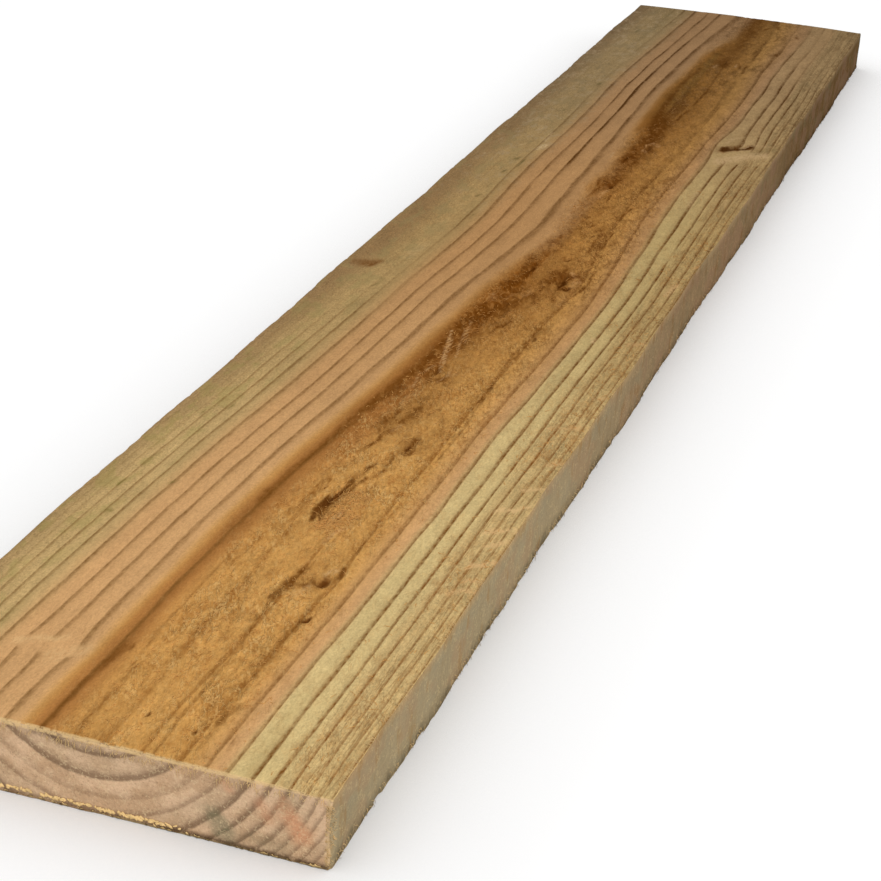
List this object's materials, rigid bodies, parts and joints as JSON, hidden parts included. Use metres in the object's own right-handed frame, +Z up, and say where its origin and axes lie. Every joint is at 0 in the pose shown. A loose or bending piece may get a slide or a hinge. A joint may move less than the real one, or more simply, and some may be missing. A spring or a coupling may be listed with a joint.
{
  "type": "sawn timber plank",
  "caption": "Rough-sawn pressure-treated softwood plank with wavy long edges, a crowned top face, sunken knots and a ragged crosscut end, lying flat as building stock.",
  "frame": {"origin": "centre of the plank's bottom face, on the floor it lies on", "axes": "+Y along the length away from the chipped end, +X across the width, +Z up through the thickness"},
  "size_m": [0.15, 0.95, 0.024],
  "materials": {
    "sawn_timber": "rough-sawn, pressure treated, unfinished"
  },
  "bodies": {
    "root": {"plank": "sawn_timber"}
  },
  "joints": []
}
